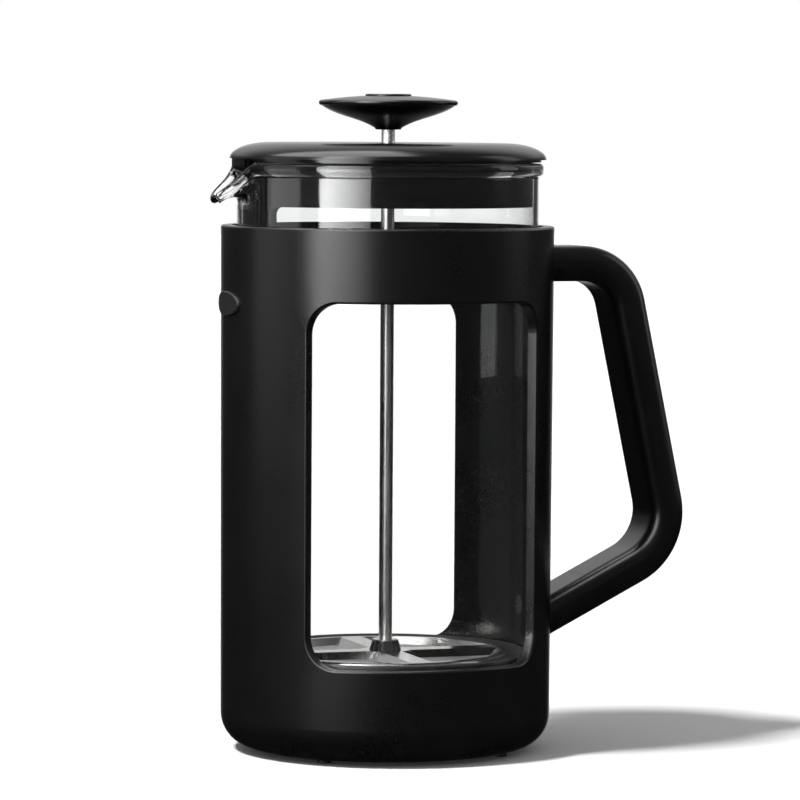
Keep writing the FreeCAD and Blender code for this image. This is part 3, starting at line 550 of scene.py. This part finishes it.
def round_the_object(degrees, distance, height):
    """A place that many degrees to the right of the camera's side, seen from above."""
    angle = math.radians(degrees)
    return (-AHEAD * math.cos(angle) + RIGHT * math.sin(angle)) * distance + UP * height


def add_light(name, kind, place, target):
    """A lamp at place, aimed at target, that the camera doesn't see."""
    data = bpy.data.lights.new(name, kind)
    light = bpy.data.objects.new(name, data)
    bpy.context.scene.collection.objects.link(light)
    light.location = place
    light.rotation_euler = (target - place).to_track_quat("-Z", "Y").to_euler()
    light.visible_camera = False
    return light


def softbox(name, place, target, width, height, watts):
    """A large soft light that shows in the gloss and leaves the floor to the key."""
    light = add_light(name, "AREA", place, target)
    light.visible_diffuse = False
    light.data.shape = "RECTANGLE"
    light.data.size = width
    light.data.size_y = height
    light.data.energy = watts
    return light


def grade_softbox(light, near_edge, low_edge):
    """Dims a softbox smoothly to those shares of its full strength, at one side and at its foot."""
    light.data.use_nodes = True
    tree = light.data.node_tree
    place = tree.nodes.new("ShaderNodeNewGeometry")
    axes = tree.nodes.new("ShaderNodeSeparateXYZ")
    tree.links.new(place.outputs["Parametric"], axes.inputs["Vector"])
    sideways = spread(tree, axes.outputs["X"], 1.0, near_edge, start=0.2, end=1.0)
    upward = spread(tree, axes.outputs["Y"], low_edge, 1.0, start=0.0, end=0.13)
    strength = calculate(tree, "MULTIPLY", sideways, upward)
    tree.links.new(strength, tree.nodes["Emission"].inputs["Strength"])


def make_lights():
    """A sun for the floor and its shadow, a graded softbox on the left, a top light and two faint fills."""
    key_place = round_the_object(degrees=-58, distance=1.0, height=1.8)
    key = add_light("key", "SUN", key_place, Vector())
    key.data.energy = 3.8
    key.data.angle = math.radians(9)
    key.visible_glossy = False
    side_place = round_the_object(degrees=-32, distance=0.75, height=SOFTBOX_HEIGHT)
    side = softbox("softbox", side_place, UP * SOFTBOX_HEIGHT, width=0.54, height=1.0, watts=14.0)
    grade_softbox(side, near_edge=0.2, low_edge=0.05)
    top_place = round_the_object(degrees=-75, distance=0.4, height=1.2)
    softbox("top", top_place, UP * 0.2, width=1.2, height=1.2, watts=20.0)
    left_place = round_the_object(degrees=-85, distance=0.8, height=0.5)
    softbox("left_fill", left_place, UP * 0.3, width=0.5, height=0.9, watts=1.0)
    right_place = round_the_object(degrees=100, distance=1.0, height=0.6)
    softbox("right_fill", right_place, UP * 0.1, width=0.4, height=0.9, watts=1.2)


def make_world():
    """A dark room with a white backdrop. The camera sees white all round, gloss and glass only behind."""
    world = bpy.data.worlds.new("studio")
    bpy.context.scene.world = world
    world.use_nodes = True
    tree = world.node_tree
    background = tree.nodes["Background"]
    background.inputs["Color"].default_value = (1, 1, 1, 1)
    ray = tree.nodes.new("ShaderNodeLightPath")
    glossy = calculate(tree, "MINIMUM", ray.outputs["Glossy Depth"], 1.0)
    diffuse = calculate(tree, "MINIMUM", ray.outputs["Diffuse Depth"], 1.0)
    place = tree.nodes.new("ShaderNodeTexCoord")
    toward = tree.nodes.new("ShaderNodeVectorMath")
    toward.operation = "DOT_PRODUCT"
    toward.inputs[1].default_value = AHEAD
    tree.links.new(place.outputs["Generated"], toward.inputs[0])
    axes = tree.nodes.new("ShaderNodeSeparateXYZ")
    tree.links.new(place.outputs["Generated"], axes.inputs["Vector"])
    low_card = spread(tree, toward.outputs["Value"], 0.0, 0.9, start=0.95, end=0.985)
    walls = spread(tree, axes.outputs["Z"], 0.012, 0.13, start=-0.05, end=0.05)
    high = spread(tree, axes.outputs["Z"], 0.0, 0.7, start=0.08, end=0.3)
    behind = spread(tree, toward.outputs["Value"], 0.0, 1.0, start=0.3, end=0.8)
    high_card = calculate(tree, "MULTIPLY", high, behind)
    card = calculate(tree, "MAXIMUM", calculate(tree, "MAXIMUM", low_card, walls), high_card)
    backdrop = spread(tree, toward.outputs["Value"], 0.03, 1.0, start=0.86, end=0.97)
    bent = calculate(tree, "MULTIPLY", backdrop, calculate(tree, "SUBTRACT", 1.0, glossy))
    room = calculate(tree, "MULTIPLY", diffuse, ROOM_FILL)
    unlit = calculate(tree, "SUBTRACT", 1.0, diffuse)
    shown = calculate(tree, "MULTIPLY", calculate(tree, "MAXIMUM", card, bent), unlit)
    shown = calculate(tree, "MAXIMUM", shown, ray.outputs["Is Camera Ray"])
    tree.links.new(calculate(tree, "MAXIMUM", room, shown), background.inputs["Strength"])


FLOOR_DARKER = (0.86, 0.86, 0.86)
FLOOR_PALER = (0.88, 0.88, 0.88)
FLOOR_MIRRORED = (0.03, 0.03, 0.03, 1)  # its colour for rays that were reflected on the way


def make_floor():
    """A plain pale sheet under the object, with a faint mottle. Reflections in the object don't show it."""
    size = 6.0
    mesh = bpy.data.meshes.new("floor")
    corners = [(-size, -size, 0), (size, -size, 0), (size, size, 0), (-size, size, 0)]
    mesh.from_pydata(corners, [], [(0, 1, 2, 3)])
    floor = bpy.data.objects.new("floor", mesh)
    bpy.context.scene.collection.objects.link(floor)
    material, tree, shader = new_material("floor")
    mottle = noise(tree, object_coordinates(tree), scale=6.0, detail=3.0)
    tint = spread(tree, mottle, 0.0, 1.0)
    colour = blend_colours(tree, tint, FLOOR_DARKER, FLOOR_PALER)
    ray = tree.nodes.new("ShaderNodeLightPath")
    mirrored = calculate(tree, "MINIMUM", ray.outputs["Glossy Depth"], 1.0)
    dim = tree.nodes.new("ShaderNodeMix")
    dim.data_type = "RGBA"
    dim.inputs["B"].default_value = FLOOR_MIRRORED
    tree.links.new(mirrored, dim.inputs["Factor"])
    tree.links.new(colour, dim.inputs["A"])
    tree.links.new(dim.outputs["Result"], shader.inputs["Base Color"])
    shader.inputs["Roughness"].default_value = 0.9
    shader.inputs["Specular IOR Level"].default_value = 0.1
    mesh.materials.append(material)
    floor.visible_glossy = False


dress_cad_nodes()
make_carafe()
make_rod()
make_camera()
make_lights()
make_world()
make_floor()
bpy.context.scene.view_settings.view_transform = "Standard"
